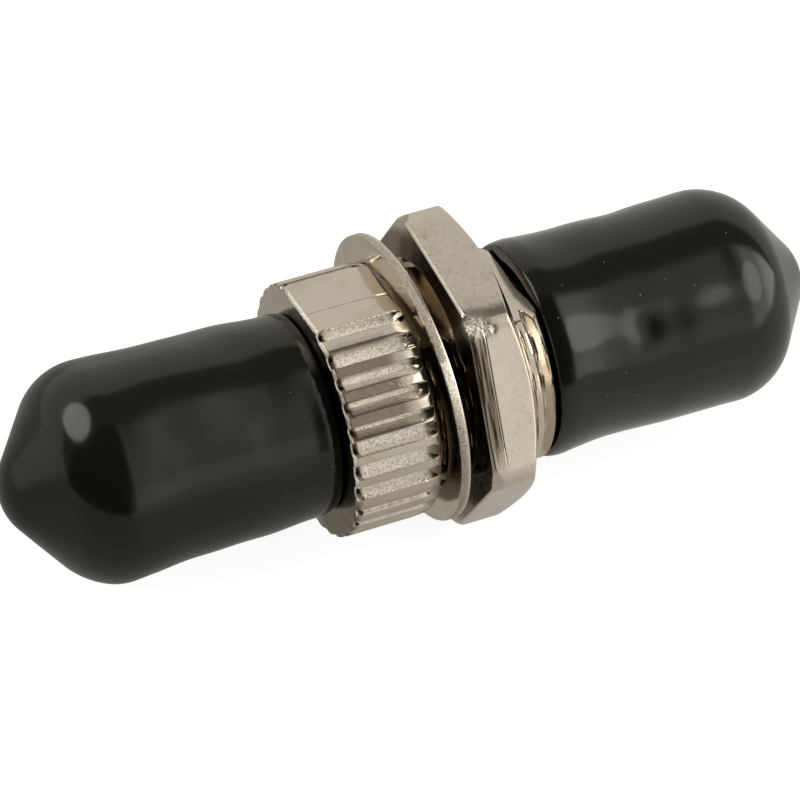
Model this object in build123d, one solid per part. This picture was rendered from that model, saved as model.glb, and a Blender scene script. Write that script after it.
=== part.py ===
from build123d import *
from math import acos, cos, degrees, pi, radians, sin, tan
import os

# ST fibre adapter with its panel nut, washer and two dust caps.
# Millimetres. X is the fibre axis, from the front cap (-X) to the rear cap (+X), and +Z is up.
# The origin is the middle of the alignment sleeve, where the two ferrules meet.
# One flat of the nut faces straight down.

# Driving dimensions of the housing, a single casting
BARREL_D = 7.5                 # both plug barrels
BARREL_WALL = 0.7
BARREL_LENGTH = 10.5           # from the collar, or from the end of the neck, to the mouth
BARREL_MOUTH_CHAMFER = 0.3
SOCKET_MOUTH_CHAMFER = 0.2
COLLAR_D = 11.34               # over the ridges of the knurl
COLLAR_LENGTH = 3.95
COLLAR_EDGE = 0.12
COLLAR_FLAT_DEPTH = 0.32       # cut from the round of the collar
NECK_MAJOR_D = 9.525           # outside of the 3/8-32 thread
NECK_LENGTH = 5.9
NECK_END_CHAMFER = 0.2
NECK_FLAT_RISE = 0.05          # from the barrel up to the flat that keys the panel hole
FLAT_TURN = -10.4              # degrees about X from straight up to the two flats
KNURL_COUNT = 33               # grooves that a full turn would have
KNURL_DEPTH = 0.36
KNURL_FLOOR_SHARE = 0.39       # width of a groove at its floor, as a share of the pitch
KNURL_TOP_SHARE = 0.61         # and at the outside of the collar
KNURL_SHOULDER = 0.2           # plain rim left at the rear end of the grooves

# Bayonet studs and key slot, alike on both barrels
STUD_D = 1.9
STUD_HEIGHT = 0.4              # above the barrel
STUD_SETBACK = 2.6             # from the barrel's mouth to the middle of a stud
KEYWAY_WIDTH = 1.2
KEYWAY_LENGTH = 2.4

# Alignment sleeve and what holds it
SLEEVE_BORE_D = 2.5
SLEEVE_WALL = 0.35
SLEEVE_LENGTH = 11.4
SLEEVE_SLIT = 0.4
SLEEVE_EDGE = 0.08
SLEEVE_PLAY = 0.05             # between the sleeve and its seat, all round and at each end
HOLDER_WALL = 0.75             # of the tubes that guard the sleeve inside each socket
HOLDER_LIP = 0.6               # end wall of each holder
HOLDER_EDGE = 0.3
FERRULE_ENTRY_PLAY = 0.17      # between a ferrule and its way in, on the radius
FERRULE_LEAD_IN = 0.35
WEB_FRONT = 1.5                # from the origin to the front face of the wall between the sockets
WEB_REAR = 1.5
RETAINER_FLANGE = 1.4
RETAINER_FIT = 0.01            # between the pressed flange and the socket, on the radius

# Washer, loose on the neck, pushed to one side and tilted against the collar
WASHER_PLAY = 0.37             # between the thread and the washer's bore, on the radius
WASHER_WIDTH = 1.37            # from its bore to its rim
WASHER_THICKNESS = 0.45
WASHER_GAP = 0.03              # from the collar's edge, on the side where the washer nears it
WASHER_LEAN = 20.0             # degrees about X, away from the viewer, of the side it is pushed to
WASHER_CLEARANCE = 0.05        # left to the thread on the side opposite
WASHER_TILT = 3.0              # degrees from square across the axis
WASHER_TILT_TURN = 41.0        # degrees about X from straight up to the line that it is tilted about

# Panel nut
NUT_WALL = 1.5875              # from the outside of the thread to a flat
NUT_THICKNESS = 2.38
NUT_FRONT_CHAMFER = 0.42       # cut from a corner, on the radius
NUT_FRONT_CHAMFER_LENGTH = 0.75
NUT_FACE_INSET = 0.1           # from a flat to the round rear face inside it
NUT_CHAMFER_ANGLE = 28.0       # of the rear chamfer, from square across the axis
NUT_PLAY = 0.16                # between the bore and the outside of the thread, on the radius
NUT_CLEARANCE = 0.03           # left to the thread on the side opposite to its lean
NUT_LEAN = 35.0                # degrees about X, away from the viewer, of the side it is pushed to
NUT_COUNTERSINK = 0.3
NUT_STANDOFF = 1.8             # from the collar to the nut

# Dust caps: a soft lip, a tapered skirt with a slight waist, a rounded shoulder and a blunt cone
FRONT_CAP_GAP = 0.06           # from its mouth to the collar
FRONT_CAP_NOSE_REACH = 3.44    # from the barrel's mouth to the tip of the cap
FRONT_CAP_MOUTH_WALL = 0.29
FRONT_CAP_WAIST_WALL = 0.34
REAR_CAP_GAP = 0.12            # from its mouth to the end of the neck
REAR_CAP_NOSE_REACH = 3.31
REAR_CAP_MOUTH_WALL = 0.67     # this mouth is stretched wide
REAR_CAP_WAIST_WALL = 0.48
CAP_LIP_LENGTH = 0.55
CAP_LIP_DROP = 0.12            # by which the lip draws in, on the radius
CAP_WAIST_SETBACK = 2.6        # from the mouth
CAP_WAIST_ROUND = 12.0
CAP_NOSE_LENGTH = 4.61         # from the end of the tapered skirt to the tip
CAP_SHOULDER_ROUND = 3.03
CAP_CONE_ANGLE = 36.9          # degrees from square across the axis
CAP_APEX_ROUND = 2.6
CAP_STUD_CLEARANCE = 0.06      # between the bore of a cap and the top of a stud
CAP_WALL = 0.7                 # of the cone and the tip
CAP_SHOULDER_WALL = 0.63

# Places along the axis, worked out from the sizes above
BODY_LENGTH = 2 * BARREL_LENGTH + COLLAR_LENGTH + NECK_LENGTH
X_FRONT = -BODY_LENGTH / 2
X_COLLAR = X_FRONT + BARREL_LENGTH
X_NECK = X_COLLAR + COLLAR_LENGTH
X_NECK_END = X_NECK + NECK_LENGTH
X_REAR = X_NECK_END + BARREL_LENGTH
X_NUT = X_NECK + NUT_STANDOFF
SEAT_END = SLEEVE_LENGTH / 2 + SLEEVE_PLAY
HOLDER_END = SEAT_END + HOLDER_LIP

# Radii and heights worked out from the sizes above
BARREL_R = BARREL_D / 2
SOCKET_R = BARREL_R - BARREL_WALL
STUD_REACH = BARREL_R + STUD_HEIGHT
COLLAR_R = COLLAR_D / 2
COLLAR_FLAT_HEIGHT = COLLAR_R - COLLAR_FLAT_DEPTH
NECK_R = NECK_MAJOR_D / 2
NECK_FLAT_HEIGHT = BARREL_R + NECK_FLAT_RISE
SLEEVE_R = SLEEVE_BORE_D / 2 + SLEEVE_WALL
SEAT_R = SLEEVE_R + SLEEVE_PLAY
HOLDER_R = SEAT_R + HOLDER_WALL
FERRULE_ENTRY_R = SLEEVE_BORE_D / 2 + FERRULE_ENTRY_PLAY
WASHER_BORE_R = NECK_R + WASHER_PLAY
WASHER_OFFSET = WASHER_PLAY - WASHER_CLEARANCE
WASHER_REACH = COLLAR_R * sin(radians(WASHER_TILT)) + WASHER_THICKNESS / 2
X_WASHER = X_NECK + WASHER_GAP + WASHER_REACH
NUT_FLAT_R = NECK_R + NUT_WALL
NUT_OFFSET = NUT_PLAY - NUT_CLEARANCE

# Form of the caps worked out from the sizes above
CAP_BORE_R = STUD_REACH + CAP_STUD_CLEARANCE
CAP_SHOULDER_R = CAP_BORE_R + CAP_SHOULDER_WALL
FRONT_CAP_LENGTH = BARREL_LENGTH - FRONT_CAP_GAP + FRONT_CAP_NOSE_REACH
REAR_CAP_LENGTH = BARREL_LENGTH - REAR_CAP_GAP + REAR_CAP_NOSE_REACH
CAP_APEX_CUT = CAP_APEX_ROUND * (1 / cos(radians(CAP_CONE_ANGLE)) - 1)

OVERCUT = 1.0                  # how far cutting shapes run past what they cut


def turned(points):
    """Solid of revolution about X from (x, radius) points."""
    return revolve(Plane.XY * Polygon(*points, align=None), Axis.X, 360)


def rod(x_start, x_end, radius):
    """Plain cylinder along X."""
    return extrude(Plane.YZ.offset(x_start) * Circle(radius), amount=x_end - x_start)


def flat_cutter(x_start, x_end, height):
    """Block that cuts a flat at a height above the axis, turned to the side of the two flats."""
    reach = COLLAR_D
    block = Box(x_end - x_start, 2 * reach, reach, align=(Align.MIN, Align.CENTER, Align.MIN))
    return Rot(X=FLAT_TURN) * Pos(x_start, 0, height) * block


def housing_blank():
    """Outside of the casting as a turned shape, with both sockets and the sleeve's seat."""
    outside = turned([
        (X_FRONT, 0),
        (X_FRONT, BARREL_R - BARREL_MOUTH_CHAMFER),
        (X_FRONT + BARREL_MOUTH_CHAMFER, BARREL_R),
        (X_COLLAR, BARREL_R),
        (X_COLLAR, COLLAR_R - COLLAR_EDGE),
        (X_COLLAR + COLLAR_EDGE, COLLAR_R),
        (X_NECK - COLLAR_EDGE, COLLAR_R),
        (X_NECK, COLLAR_R - COLLAR_EDGE),
        (X_NECK, NECK_R),
        (X_NECK_END - NECK_END_CHAMFER, NECK_R),
        (X_NECK_END, NECK_R - NECK_END_CHAMFER),
        (X_NECK_END, BARREL_R),
        (X_REAR - BARREL_MOUTH_CHAMFER, BARREL_R),
        (X_REAR, BARREL_R - BARREL_MOUTH_CHAMFER),
        (X_REAR, 0),
    ])
    front_socket = turned([
        (X_FRONT, 0),
        (X_FRONT, SOCKET_R + SOCKET_MOUTH_CHAMFER),
        (X_FRONT + SOCKET_MOUTH_CHAMFER, SOCKET_R),
        (-WEB_FRONT, SOCKET_R),
        (-WEB_FRONT, HOLDER_R),
        (-HOLDER_END + HOLDER_EDGE, HOLDER_R),
        (-HOLDER_END, HOLDER_R - HOLDER_EDGE),
        (-HOLDER_END, FERRULE_ENTRY_R + FERRULE_LEAD_IN),
        (-HOLDER_END + FERRULE_LEAD_IN, FERRULE_ENTRY_R),
        (-SEAT_END, FERRULE_ENTRY_R),
        (-SEAT_END, 0),
    ])
    rear_socket = turned([
        (-SEAT_END, 0),
        (-SEAT_END, SEAT_R),
        (WEB_REAR, SEAT_R),
        (WEB_REAR, SOCKET_R),
        (X_REAR - SOCKET_MOUTH_CHAMFER, SOCKET_R),
        (X_REAR, SOCKET_R + SOCKET_MOUTH_CHAMFER),
        (X_REAR, 0),
    ])
    return outside - front_socket - rear_socket


def knurl_groove():
    """One groove of the knurl, with splayed sides, at the top of the collar."""
    pitch = pi * COLLAR_D / KNURL_COUNT
    floor_r = COLLAR_R - KNURL_DEPTH
    rise = KNURL_DEPTH + OVERCUT
    half_floor = KNURL_FLOOR_SHARE * pitch / 2
    splay = (KNURL_TOP_SHARE - KNURL_FLOOR_SHARE) * pitch / 2 / KNURL_DEPTH * rise
    profile = Plane.YZ.offset(X_COLLAR - OVERCUT) * Polygon(
        (-half_floor, floor_r),
        (half_floor, floor_r),
        (half_floor + splay, floor_r + rise),
        (-half_floor - splay, floor_r + rise),
        align=None,
    )
    return extrude(profile, amount=COLLAR_LENGTH - KNURL_SHOULDER + OVERCUT)


def knurl_cutters():
    """All grooves beside the flat."""
    pitch = 360 / KNURL_COUNT
    flat_half_angle = degrees(acos(COLLAR_FLAT_HEIGHT / COLLAR_R))
    groove = knurl_groove()
    turns = [step * pitch for step in range(KNURL_COUNT)]
    beside_flat = [turn for turn in turns if flat_half_angle < min(turn, 360 - turn)]
    return [Rot(X=FLAT_TURN + turn) * groove for turn in beside_flat]


def barrel_fittings(x_mouth, inward):
    """Two studs to add to a barrel, and the key slot to cut from it."""
    stud_x = x_mouth + inward * STUD_SETBACK
    root = (BARREL_R + SOCKET_R) / 2
    pin = Pos(stud_x, 0, root) * Cylinder(
        STUD_D / 2, STUD_REACH, align=(Align.CENTER, Align.CENTER, Align.MIN)
    )
    upright = pin & rod(stud_x - STUD_D, stud_x + STUD_D, STUD_REACH)
    studs = [Rot(X=FLAT_TURN + side) * upright for side in (90, -90)]
    slot = Box(
        KEYWAY_LENGTH + OVERCUT,
        KEYWAY_WIDTH,
        BARREL_D,
        align=(Align.CENTER, Align.CENTER, Align.MIN),
    )
    slot_x = x_mouth + inward * (KEYWAY_LENGTH - OVERCUT) / 2
    keyway = Rot(X=FLAT_TURN) * Pos(slot_x, 0, 0) * slot
    return studs, keyway


def make_housing():
    """The casting: barrels, studs, key slots, knurled collar, neck and both flats."""
    body = housing_blank()
    body -= flat_cutter(X_COLLAR - OVERCUT, X_NECK + OVERCUT / 2, COLLAR_FLAT_HEIGHT)
    body -= knurl_cutters()
    body -= flat_cutter(X_NECK, X_NECK_END + OVERCUT, NECK_FLAT_HEIGHT)
    for x_mouth, inward in ((X_FRONT, 1), (X_REAR, -1)):
        studs, keyway = barrel_fittings(x_mouth, inward)
        body += studs
        body -= keyway
    return body


def make_sleeve():
    """Split ceramic sleeve with broken edges."""
    bore_r = SLEEVE_BORE_D / 2
    end = SLEEVE_LENGTH / 2
    tube = turned([
        (-end, bore_r + SLEEVE_EDGE),
        (-end, SLEEVE_R - SLEEVE_EDGE),
        (-end + SLEEVE_EDGE, SLEEVE_R),
        (end - SLEEVE_EDGE, SLEEVE_R),
        (end, SLEEVE_R - SLEEVE_EDGE),
        (end, bore_r + SLEEVE_EDGE),
        (end - SLEEVE_EDGE, bore_r),
        (-end + SLEEVE_EDGE, bore_r),
    ])
    slit = Box(
        SLEEVE_LENGTH + OVERCUT,
        SLEEVE_SLIT,
        2 * SLEEVE_R,
        align=(Align.CENTER, Align.CENTER, Align.MIN),
    )
    return tube - slit


def make_retainer():
    """Turned insert: a flange pressed into the rear socket and the rear guard tube."""
    flange_r = SOCKET_R - RETAINER_FIT
    return turned([
        (WEB_REAR, SEAT_R),
        (WEB_REAR, flange_r),
        (WEB_REAR + RETAINER_FLANGE, flange_r),
        (WEB_REAR + RETAINER_FLANGE, HOLDER_R),
        (HOLDER_END - HOLDER_EDGE, HOLDER_R),
        (HOLDER_END, HOLDER_R - HOLDER_EDGE),
        (HOLDER_END, FERRULE_ENTRY_R + FERRULE_LEAD_IN),
        (HOLDER_END - FERRULE_LEAD_IN, FERRULE_ENTRY_R),
        (SEAT_END, FERRULE_ENTRY_R),
        (SEAT_END, SEAT_R),
    ])


def pushed(shape, lean, distance):
    """A shape moved off the axis, away from the viewer by an angle from straight up."""
    return Rot(X=-lean) * Pos(0, 0, distance) * Rot(X=lean) * shape


def make_washer():
    """Flat washer, off the axis by the play in its bore and tilted until it nears the collar."""
    half = WASHER_THICKNESS / 2
    ring = rod(-half, half, WASHER_BORE_R + WASHER_WIDTH)
    ring -= rod(-half - OVERCUT, half + OVERCUT, WASHER_BORE_R)
    tilted = Rot(X=WASHER_TILT_TURN) * Rot(Z=WASHER_TILT) * ring
    return pushed(Pos(X_WASHER, 0, 0) * tilted, WASHER_LEAN, WASHER_OFFSET)


def make_nut():
    """Hexagon nut, a little off the axis, with both faces chamfered and a countersunk bore."""
    x_end = X_NUT + NUT_THICKNESS
    corner_r = NUT_FLAT_R / cos(radians(30))
    face_r = NUT_FLAT_R - NUT_FACE_INSET
    set_back = (corner_r - face_r) * tan(radians(NUT_CHAMFER_ANGLE))
    hexagon = Plane.YZ.offset(X_NUT) * RegularPolygon(NUT_FLAT_R, 6, major_radius=False)
    prism = extrude(hexagon, amount=NUT_THICKNESS)
    envelope = turned([
        (X_NUT, 0),
        (X_NUT, corner_r - NUT_FRONT_CHAMFER),
        (X_NUT + NUT_FRONT_CHAMFER_LENGTH, corner_r),
        (x_end - set_back, corner_r),
        (x_end, face_r),
        (x_end, 0),
    ])
    bore_r = NECK_R + NUT_PLAY
    bore = turned([
        (X_NUT, 0),
        (X_NUT, bore_r + NUT_COUNTERSINK),
        (X_NUT + NUT_COUNTERSINK, bore_r),
        (x_end - NUT_COUNTERSINK, bore_r),
        (x_end, bore_r + NUT_COUNTERSINK),
        (x_end, 0),
    ])
    return pushed((prism & envelope) - bore, NUT_LEAN, NUT_OFFSET)


def cap_form(length, mouth_r, waist_r):
    """Outside of a cap as a filled solid with its mouth at x = 0."""
    slope = tan(radians(CAP_CONE_ANGLE))
    taper = (CAP_SHOULDER_R - waist_r) / (length - CAP_NOSE_LENGTH - CAP_WAIST_SETBACK)
    sharp_tip = length + CAP_APEX_CUT
    axis_r = waist_r - taper * CAP_WAIST_SETBACK
    corner_x = (sharp_tip - slope * axis_r) / (1 + slope * taper)
    corner_r = axis_r + taper * corner_x
    half = [
        (0, mouth_r - CAP_LIP_DROP),
        (CAP_LIP_LENGTH, mouth_r),
        (CAP_WAIST_SETBACK, waist_r),
        (corner_x, corner_r),
    ]
    mirrored = [(x, -r) for x, r in reversed(half)]
    outline = Polygon(*half, (sharp_tip, 0), *mirrored, align=None)
    along = outline.vertices().sort_by(Axis.X)
    outline = fillet(along[6:8], CAP_SHOULDER_ROUND)
    outline = fillet(outline.vertices().sort_by(Axis.X)[4:6], CAP_WAIST_ROUND)
    outline = fillet(outline.vertices().sort_by(Axis.X)[-1], CAP_APEX_ROUND)
    upper = Rectangle(sharp_tip, corner_r, align=(Align.MIN, Align.MIN))
    return revolve(Plane.XY * (outline & upper), Axis.X, 360)


def cap_cavity(length):
    """Inside of a cap: a straight bore, a cone and a blunt end."""
    slope = tan(radians(CAP_CONE_ANGLE))
    inner_tip = length + CAP_APEX_CUT - CAP_WALL / cos(radians(CAP_CONE_ANGLE))
    end_x = length - CAP_WALL
    return turned([
        (0, 0),
        (0, CAP_BORE_R),
        (inner_tip - slope * CAP_BORE_R, CAP_BORE_R),
        (end_x, (inner_tip - end_x) / slope),
        (end_x, 0),
    ])


def make_cap(length, mouth_wall, waist_wall):
    """Hollow cap with its mouth at x = 0, closed towards +X."""
    return cap_form(length, CAP_BORE_R + mouth_wall, CAP_BORE_R + waist_wall) - cap_cavity(length)


front_cap = make_cap(FRONT_CAP_LENGTH, FRONT_CAP_MOUTH_WALL, FRONT_CAP_WAIST_WALL)
rear_cap = make_cap(REAR_CAP_LENGTH, REAR_CAP_MOUTH_WALL, REAR_CAP_WAIST_WALL)

NODES = {
    "housing": make_housing(),
    "alignment_sleeve": make_sleeve(),
    "sleeve_retainer": make_retainer(),
    "panel_washer": make_washer(),
    "hex_nut": make_nut(),
    "front_dust_cap": Pos(X_COLLAR - FRONT_CAP_GAP, 0, 0) * Rot(Z=180) * front_cap,
    "rear_dust_cap": Pos(X_NECK_END + REAR_CAP_GAP, 0, 0) * rear_cap,
}

os.makedirs("parts", exist_ok=True)
for name, shape in NODES.items():
    export_step(shape, f"parts/{name}.step")
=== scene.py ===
import logging
import math
from dataclasses import dataclass
from enum import Enum

import bmesh
import bpy
import numpy as np
from mathutils import Matrix, Vector


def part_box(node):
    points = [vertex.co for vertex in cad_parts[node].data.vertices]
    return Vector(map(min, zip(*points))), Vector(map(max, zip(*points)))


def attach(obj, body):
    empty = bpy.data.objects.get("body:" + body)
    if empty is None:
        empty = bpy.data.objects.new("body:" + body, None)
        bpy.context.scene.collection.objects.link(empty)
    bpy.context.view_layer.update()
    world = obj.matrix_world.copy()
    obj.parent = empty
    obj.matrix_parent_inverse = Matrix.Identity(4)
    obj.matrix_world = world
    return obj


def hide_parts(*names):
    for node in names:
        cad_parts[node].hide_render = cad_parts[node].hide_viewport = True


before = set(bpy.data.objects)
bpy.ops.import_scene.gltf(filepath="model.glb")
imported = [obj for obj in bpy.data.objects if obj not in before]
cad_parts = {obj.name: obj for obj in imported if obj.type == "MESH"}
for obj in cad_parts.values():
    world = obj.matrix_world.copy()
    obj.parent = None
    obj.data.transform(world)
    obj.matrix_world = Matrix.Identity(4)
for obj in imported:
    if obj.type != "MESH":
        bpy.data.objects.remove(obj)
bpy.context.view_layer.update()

# Dresses a capped fibre adapter: a plated housing with a knurled collar and a threaded neck, its
# washer and panel nut, and two black dust caps.
# Lengths are millimetres until a mesh, a lamp or the camera is made. X is the fibre axis, +Z is up.
# Angles round the axis start straight up and grow towards the viewer, who is on the -Y side.

MM = 0.001
TURN = 2 * math.pi
MERGE = 0.0002                 # mm, below which two points are one
WAVE = TURN / 20               # width of a band of the wave texture at scale 1
WHITE = (1.0, 1.0, 1.0, 1.0)

Array = np.ndarray
Material, Piece, Tree = bpy.types.Material, bpy.types.Object, bpy.types.NodeTree
Node, Socket = bpy.types.Node, bpy.types.NodeSocket
Ramp = tuple[float, float]     # where something starts and where it is full
Ramps = tuple[float, float, float, float]
Colour = tuple[float, float, float, float]
log = logging.getLogger("fibre_adapter")


def linear(colour: str) -> Colour:
    """Turns an sRGB hex colour into a linear one.

    Args:
        colour: such as "#B4A894".

    Returns:
        Red, green and blue, and alpha 1.
    """
    parts = [int(colour[place:place + 2], 16) / 255 for place in (1, 3, 5)]
    bent = [part / 12.92 if part <= 0.04045 else ((part + 0.055) / 1.055) ** 2.4 for part in parts]
    return (*bent, 1.0)


def feed(node: Node, inputs: dict) -> Node:
    """Sets or links the inputs of a node.

    Args:
        node: the node to feed.
        inputs: a constant or an output socket for each named or numbered input.

    Returns:
        The same node.
    """
    for key, value in inputs.items():
        if isinstance(value, Socket):
            node.id_data.links.new(value, node.inputs[key])
        else:
            node.inputs[key].default_value = value
    return node


def add_node(tree: Tree, kind: str, inputs: dict | None = None, **settings: object) -> Node:
    """Adds one node to a tree.

    Args:
        tree: the material's or the world's tree.
        kind: the node's type name.
        inputs: as in feed.
        settings: the node's own properties.

    Returns:
        The new node.
    """
    node = tree.nodes.new(kind)
    for name, value in settings.items():
        setattr(node, name, value)
    return feed(node, inputs or {})


def new_material(name: str) -> tuple[Material, Tree, Node, Socket]:
    """Starts a material.

    Args:
        name: of the material.

    Returns:
        The material, its tree, its Principled shader, and the place on the object in metres.
    """
    made = bpy.data.materials.new(name)
    made.use_nodes = True
    tree = made.node_tree
    return made, tree, tree.nodes["Principled BSDF"], add_node(tree, "ShaderNodeTexCoord").outputs["Object"]


def lens_rays(tree: Tree) -> tuple[bpy.types.bpy_prop_collection, Socket]:
    """Tells the rays that the lens sends from those that light or are mirrored.

    Args:
        tree: the material's or the world's tree.

    Returns:
        All outputs of a Light Path, and one that is 1 for the lens, also through something clear.
    """
    rays = add_node(tree, "ShaderNodeLightPath").outputs
    lens = {0: rays["Is Camera Ray"], 1: rays["Is Transmission Ray"]}
    return rays, add_node(tree, "ShaderNodeMath", lens, operation="MAXIMUM").outputs[0]


def smooth_step(value: Array, low: float, high: float) -> Array:
    """Rises from 0 at low to 1 at high as 3t² - 2t³."""
    t = np.clip((value - low) / (high - low), 0, 1)
    return t * t * (3 - 2 * t)


def smooth_fall(value: Array, low: float, high: float) -> Array:
    """Falls from 1 at low to 0 at high, as 1 less the smooth step."""
    return 1 - smooth_step(value, low, high)


def wrapped(angle: Array) -> Array:
    """The same angle between -half a turn and +half a turn."""
    return (angle + math.pi) % TURN - math.pi


def smooth_noise(along: Array, around: Array, cells_around: int, seed: int) -> Array:
    """Random height between -1 and 1 that changes smoothly over one lattice cell.

    Random values stand on a lattice. Between its points they are blended by the smooth step of the
    fractions in both directions. The second direction wraps round.

    Args:
        along: place in cells, 0 or more.
        around: place in turns.
        cells_around: number of cells in a turn.
        seed: of the random values.

    Returns:
        An array of heights of the two places' common shape.
    """
    along, around = np.broadcast_arrays(along, (around % 1) * cells_around)
    lattice = np.random.default_rng(seed).uniform(-1, 1, (int(along.max()) + 2, cells_around))
    row = np.floor(along).astype(int)
    column = np.floor(around).astype(int) % cells_around
    down = smooth_step(along - row, 0, 1)
    across = smooth_step(around - np.floor(around), 0, 1)
    following = (column + 1) % cells_around
    near = lattice[row, column] * (1 - across) + lattice[row, following] * across
    far = lattice[row + 1, column] * (1 - across) + lattice[row + 1, following] * across
    return near * (1 - down) + far * down


def rounded_path(corners: Array, radii: Array, steps: int, closed: bool) -> Array:
    """Turns the corners of one path, or of many at once, into arcs.

    Both sides of a corner C are cut back by radius * tan(half the turn) to A and B, and by no more
    than 0.45 of a side. The arc is ((1-t)²A + 2wt(1-t)C + t²B) / ((1-t)² + 2wt(1-t) + t²), where w
    is the cosine of half the turn, which is the exact circle.

    Args:
        corners: (corners, columns, 2) places and radii.
        radii: one for each corner.
        steps: points on each arc.
        closed: whether the last corner leads back to the first.

    Returns:
        (corners * steps, columns, 2) points.
    """
    before, after = np.roll(corners, 1, 0), np.roll(corners, -1, 0)
    if not closed:
        before[0], after[-1] = 2 * corners[0] - corners[1], 2 * corners[-1] - corners[-2]
    back, on = before - corners, after - corners
    back_length = np.linalg.norm(back, axis=-1, keepdims=True)
    on_length = np.linalg.norm(on, axis=-1, keepdims=True)
    back, on = back / back_length, on / on_length
    half = 0.5 * np.arccos(np.clip(-(back * on).sum(-1, keepdims=True), -1, 1))
    cut = np.minimum(radii[:, None, None] * np.tan(half), 0.45 * np.minimum(back_length, on_length))
    start, end = corners + back * cut, corners + on * cut
    weight = np.cos(half)[:, None]
    t = np.linspace(0, 1, steps)[None, :, None, None]
    bottom = (1 - t) ** 2 + 2 * weight * t * (1 - t) + t ** 2
    top = (1 - t) ** 2 * start[:, None] + 2 * weight * t * (1 - t) * corners[:, None] + t ** 2 * end[:, None]
    return (top / bottom).reshape(-1, *corners.shape[1:])


def filled_in(path: Array, gap: float, closed: bool) -> Array:
    """Divides the long stretches of a path into equal parts no longer than gap.

    Args:
        path: (points, columns, 2) places and radii.
        gap: longest stretch to leave, in millimetres.
        closed: whether the last point leads back to the first.

    Returns:
        (more points, columns, 2) places and radii.
    """
    ends = np.roll(path, -1, 0)
    if not closed:
        path_end, path, ends = path[-1:], path[:-1], ends[:-1]
    longest = np.linalg.norm(ends - path, axis=-1).max(1)
    parts = np.maximum(np.ceil(longest / gap), 1).astype(int)
    which = np.repeat(np.arange(len(parts)), parts)
    first = np.repeat(np.cumsum(parts) - parts, parts)
    share = ((np.arange(parts.sum()) - first) / parts[which])[:, None, None]
    full = path[which] * (1 - share) + ends[which] * share
    return full if closed else np.concatenate([full, path_end])


@dataclass
class Skin:
    """A surface as points in millimetres, quads between them, how grainy each point is, and how much shade is
    painted into its colour.
    """

    points: Array
    quads: Array
    grain: Array
    painted_shade: Array

    @classmethod
    def from_grid(
        cls, points: Array, closed: bool, grain: Array | float = 0.0, painted_shade: Array | float = 0.0
    ) -> "Skin":
        """Joins a grid of points into quads.

        Args:
            points: (rows, columns, 3). The last column always leads back to the first.
            closed: whether the last row leads back to the first.
            grain: 0 for a smooth finish to 1 for a rough cast one, at each point.
            painted_shade: 0 for none to 1 for full shade painted into the colour, at each point.

        Returns:
            The surface.
        """
        rows, columns = points.shape[:2]
        row = np.arange(rows if closed else rows - 1)[:, None]
        column = np.arange(columns)[None, :]
        below, beside = (row + 1) % rows, (column + 1) % columns
        this_row, next_row = row * columns, below * columns
        corners = this_row + column, this_row + beside, next_row + beside, next_row + column
        quads = np.stack(np.broadcast_arrays(*corners), -1).reshape(-1, 4)
        finish = [np.broadcast_to(amount, (rows, columns)).ravel() for amount in (grain, painted_shade)]
        return cls(points.reshape(-1, 3), quads, *finish)

    @classmethod
    def round_axis(
        cls, x: Array, r: Array, turn: Array, closed: bool, centre: Ramp = (0.0, 0.0),
        grain: Array | float = 0.0, painted_shade: Array | float = 0.0,
    ) -> "Skin":
        """Carries a profile round the fibre axis: (x, y0 - r sin(turn), z0 + r cos(turn)).

        Args:
            x: places along the axis, as rows, or as rows by columns.
            r: radii, likewise.
            turn: angle of each column.
            closed: whether the profile closes on itself.
            centre: y0 and z0, where the piece sits off the axis.
            grain: as in from_grid.
            painted_shade: as in from_grid.

        Returns:
            The surface.
        """
        x, r, turn = np.broadcast_arrays(x, r, turn)
        points = np.stack([x, centre[0] - r * np.sin(turn), centre[1] + r * np.cos(turn)], -1)
        return cls.from_grid(points, closed, grain, painted_shade)


def make_piece(name: str, skins: list[Skin], sharp: float) -> Piece:
    """Makes one object, at the origin and unturned, from closed surfaces.

    Args:
        name: of the object and its mesh.
        skins: the surfaces.
        sharp: angle in degrees from which an edge is shaded as an edge.

    Returns:
        The object, with its poles merged and its faces pointing outwards.
    """
    offsets = np.cumsum([0] + [len(skin.points) for skin in skins[:-1]])
    points = np.concatenate([skin.points for skin in skins]) * MM
    quads = np.concatenate([skin.quads + offset for skin, offset in zip(skins, offsets)])
    mesh = bpy.data.meshes.new(name)
    mesh.vertices.add(len(points))
    mesh.vertices.foreach_set("co", points.astype(np.float32).ravel())
    mesh.loops.add(quads.size)
    mesh.loops.foreach_set("vertex_index", quads.astype(np.int32).ravel())
    mesh.polygons.add(len(quads))
    mesh.polygons.foreach_set("loop_start", np.arange(0, quads.size, 4, dtype=np.int32))
    mesh.update(calc_edges=True)
    for finish in ("grain", "painted_shade"):
        amounts = np.concatenate([getattr(skin, finish) for skin in skins]).astype(np.float32)
        mesh.attributes.new(finish, "FLOAT", "POINT").data.foreach_set("value", amounts)
    tidy = bmesh.new()
    tidy.from_mesh(mesh)
    bmesh.ops.remove_doubles(tidy, verts=tidy.verts, dist=MERGE * MM)
    bmesh.ops.recalc_face_normals(tidy, faces=tidy.faces)
    tidy.to_mesh(mesh)
    tidy.free()
    mesh.polygons.foreach_set("use_smooth", np.ones(len(mesh.polygons), dtype=bool))
    mesh.set_sharp_from_angle(angle=math.radians(sharp))
    piece = bpy.data.objects.new(name, mesh)
    bpy.context.scene.collection.objects.link(piece)
    return piece


@dataclass(frozen=True)
class Dent:
    """A shallow round hollow in a turned surface."""

    x: float
    turn: float
    size: float                    # distance at which its depth has fallen to about a third
    depth: float

    def at(self, x: Array, turn: Array, r: Array) -> Array:
        """The hollow's depth at places round the axis: depth * e^-((distance / size)²)."""
        apart = (x - self.x) ** 2 + (wrapped(turn - self.turn) * r) ** 2
        return self.depth * np.exp(-apart / self.size ** 2)


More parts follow.
